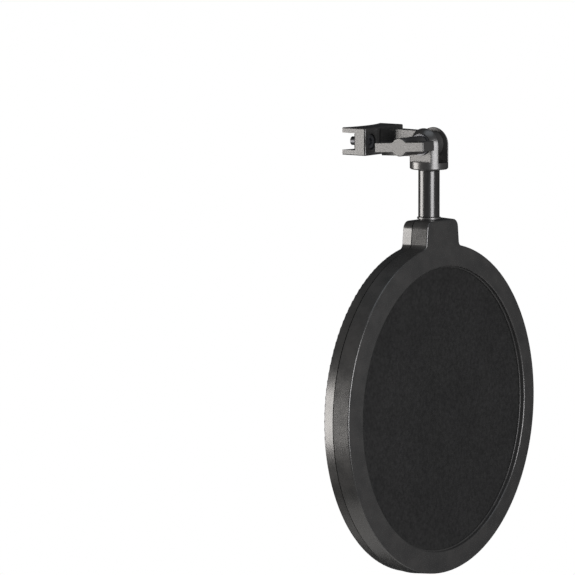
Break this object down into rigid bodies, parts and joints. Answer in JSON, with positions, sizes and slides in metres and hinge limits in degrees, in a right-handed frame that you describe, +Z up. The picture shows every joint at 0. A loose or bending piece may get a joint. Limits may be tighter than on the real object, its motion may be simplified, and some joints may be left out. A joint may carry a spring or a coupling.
{
  "type": "microphone pop filter",
  "caption": "Round two-layer fabric pop filter on a swivelling post and tilting yoke, clamped by a T-handle screw to an arm with a ring foot.",
  "frame": {"origin": "on the foot's channel floor, where the outer face of the supporting ring touches the foot's liner, at mid-width and mid-height of the foot", "axes": "+Z up along the post; -Y towards the voice, square to the filter; +X along the hinge screw, away from its T-handle"},
  "size_m": [0.152, 0.051, 0.2048],
  "materials": {
    "shell": "satin, fine moulded grain",
    "mesh": "fine black knitted mesh, stretched flat",
    "hoop": "satin",
    "fitting": "satin, moulded",
    "handle": "satin, moulded",
    "post": "smooth black, semi-gloss",
    "black_steel": "black oxide",
    "zinc_steel": "zinc plated",
    "bush": "turned",
    "liner": "matt",
    "washer": "smooth nylon"
  },
  "bodies": {
    "mount_arm": {"ring_block": "fitting", "ring_liner": "liner", "ring_screws": "black_steel", "arm": "fitting", "arm_screws": "zinc_steel", "tongue_bush": "bush"},
    "yoke": {"yoke": "fitting", "hinge_nut": "zinc_steel", "friction_washers": "washer", "post": "post", "post_screw": "black_steel", "post_clip": "zinc_steel"},
    "filter": {"front_ring": "shell", "rear_ring": "shell", "neck_bush": "washer", "neck_screws": "black_steel", "front_hoop": "hoop", "front_screen": "mesh", "spacer_ring": "hoop", "rear_screen": "mesh", "rear_hoop": "hoop"},
    "hub_washer": {"hub_washer": "black_steel"},
    "wing_screw": {"wing_handle": "handle", "wing_stud": "zinc_steel"}
  },
  "joints": [
    {"name": "tilt", "type": "hinge", "parent": "mount_arm", "child": "yoke", "pos_m": [0, -0.0288, -0.0005], "axis": [1, 0, 0], "range_deg": [-190, 13]},
    {"name": "swivel", "type": "hinge", "parent": "yoke", "child": "filter", "pos_m": [0, -0.0288, -0.04], "axis": [0, 0, 1], "continuous": true},
    {"name": "washer_slide", "type": "slide", "parent": "yoke", "child": "hub_washer", "axis": [-1, 0, 0], "range_m": [0, 0.0016]},
    {"name": "wing_turn", "type": "hinge", "parent": "hub_washer", "child": "wing_screw", "pos_m": [-0.018, -0.0288, -0.0005], "axis": [-1, 0, 0], "range_deg": [0, 721]}
  ],
  "couplings": [
    {"joint": "wing_turn", "follows": "washer_slide", "rad_per_m": 7854}
  ]
}
